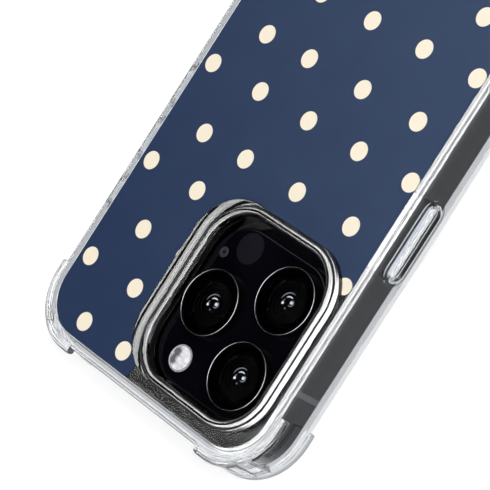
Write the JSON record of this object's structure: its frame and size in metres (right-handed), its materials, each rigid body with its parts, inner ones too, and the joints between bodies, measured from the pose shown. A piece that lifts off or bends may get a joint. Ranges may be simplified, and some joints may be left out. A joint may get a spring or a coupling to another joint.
{
  "type": "smartphone in a clear bumper case",
  "caption": "Three-lens phone lying on its screen in a clear bumper case with ribbed air corners, raised camera guard, pressable side keys and a dotted print.",
  "frame": {"origin": "middle of the footprint, on the plane that the case's front lip rests on", "axes": "+Z out of the phone's back, +Y to its top edge (camera end), +X to the right seen from the back; the screen faces -Z"},
  "size_m": [0.0786, 0.1546, 0.0152],
  "materials": {
    "clear_tpu": "clear, glossy, flexible",
    "clear_plate": "clear, hard, glossy",
    "print_navy": "satin printed film",
    "print_cream": "satin printed dots",
    "band_metal": "dark brushed",
    "break_resin": "matte",
    "tray_alloy": "satin",
    "screen_black": "polished glass",
    "back_black": "polished glass",
    "ring_metal": "dark polished",
    "lens_glass": "coated, polished",
    "barrel_black": "matte",
    "flash_plastic": "ribbed",
    "emitter_yellow": "matte",
    "dark_window": "polished",
    "black_moulding": "matte",
    "port_steel": "satin",
    "board_green": "coated",
    "copper": "satin",
    "magnet_nickel": "plated"
  },
  "bodies": {
    "phone_in_case": {"bumper_frame": "clear_tpu", "back_plate": "clear_plate", "print_field": "print_navy", "print_dots": "print_cream", "camera_guard": "clear_tpu", "side_band": "band_metal", "antenna_breaks": "break_resin", "midplate": "tray_alloy", "screen_glass": "screen_black", "display_module": "screen_black", "back_glass": "back_black", "camera_plateau": "back_black", "wide_lens_ring": "ring_metal", "ultrawide_lens_ring": "ring_metal", "tele_lens_ring": "ring_metal", "wide_lens_window": "lens_glass", "ultrawide_lens_window": "lens_glass", "tele_lens_window": "lens_glass", "wide_sensor_block": "barrel_black", "ultrawide_sensor_block": "barrel_black", "tele_sensor_block": "barrel_black", "flash_lens": "flash_plastic", "flash_emitter": "emitter_yellow", "depth_window": "dark_window", "depth_sensor": "black_moulding", "rear_microphone": "black_moulding", "key_switches": "copper", "port_shell": "port_steel", "port_tongue": "black_moulding", "port_block": "black_moulding", "bottom_screws": "port_steel", "sound_meshes": "black_moulding", "battery": "black_moulding", "logic_board": "board_green", "board_shields": "tray_alloy", "charging_coil": "copper", "alignment_magnets": "magnet_nickel", "motor_case": "tray_alloy", "loudspeaker": "black_moulding", "earpiece": "black_moulding", "front_camera": "barrel_black", "display_flex": "copper", "tray_screws": "port_steel"},
    "side_cover": {"side_key_cover": "clear_tpu"},
    "side_button": {"side_key": "band_metal"},
    "up_cover": {"volume_up_cover": "clear_tpu"},
    "up_button": {"volume_up_key": "band_metal"},
    "down_cover": {"volume_down_cover": "clear_tpu"},
    "down_button": {"volume_down_key": "band_metal"},
    "action_cover": {"action_key_cover": "clear_tpu"},
    "action_button": {"action_key": "band_metal"},
    "wide_focus_unit": {"wide_lens_barrel": "barrel_black"},
    "ultrawide_focus_unit": {"ultrawide_lens_barrel": "barrel_black"},
    "tele_focus_unit": {"tele_lens_barrel": "barrel_black"},
    "swinging_weight": {"motor_weight": "port_steel"}
  },
  "joints": [
    {"name": "side_key_press", "type": "slide", "parent": "phone_in_case", "child": "side_button", "axis": [1, 0, 0], "range_m": [0, 0.0003], "stiffness_N_per_m": 3000},
    {"name": "side_cover_press", "type": "slide", "parent": "phone_in_case", "child": "side_cover", "axis": [1, 0, 0], "range_m": [0, 0.0003]},
    {"name": "up_key_press", "type": "slide", "parent": "phone_in_case", "child": "up_button", "axis": [-1, 0, 0], "range_m": [0, 0.0003], "stiffness_N_per_m": 3000},
    {"name": "up_cover_press", "type": "slide", "parent": "phone_in_case", "child": "up_cover", "axis": [-1, 0, 0], "range_m": [0, 0.0003]},
    {"name": "down_key_press", "type": "slide", "parent": "phone_in_case", "child": "down_button", "axis": [-1, 0, 0], "range_m": [0, 0.0003], "stiffness_N_per_m": 3000},
    {"name": "down_cover_press", "type": "slide", "parent": "phone_in_case", "child": "down_cover", "axis": [-1, 0, 0], "range_m": [0, 0.0003]},
    {"name": "action_key_press", "type": "slide", "parent": "phone_in_case", "child": "action_button", "axis": [-1, 0, 0], "range_m": [0, 0.0003], "stiffness_N_per_m": 3000},
    {"name": "action_cover_press", "type": "slide", "parent": "phone_in_case", "child": "action_cover", "axis": [-1, 0, 0], "range_m": [0, 0.0003]},
    {"name": "wide_focus", "type": "slide", "parent": "phone_in_case", "child": "wide_focus_unit", "axis": [0, 0, 1], "range_m": [0, 0.0003], "stiffness_N_per_m": 200},
    {"name": "ultrawide_focus", "type": "slide", "parent": "phone_in_case", "child": "ultrawide_focus_unit", "axis": [0, 0, 1], "range_m": [0, 0.0003], "stiffness_N_per_m": 200},
    {"name": "tele_focus", "type": "slide", "parent": "phone_in_case", "child": "tele_focus_unit", "axis": [0, 0, 1], "range_m": [0, 0.0003], "stiffness_N_per_m": 200},
    {"name": "motor_swing", "type": "slide", "parent": "phone_in_case", "child": "swinging_weight", "axis": [1, 0, 0], "range_m": [-0.0006, 0.0006], "stiffness_N_per_m": 600}
  ],
  "couplings": [
    {"joint": "side_cover_press", "follows": "side_key_press", "ratio": 1},
    {"joint": "up_cover_press", "follows": "up_key_press", "ratio": 1},
    {"joint": "down_cover_press", "follows": "down_key_press", "ratio": 1},
    {"joint": "action_cover_press", "follows": "action_key_press", "ratio": 1}
  ]
}
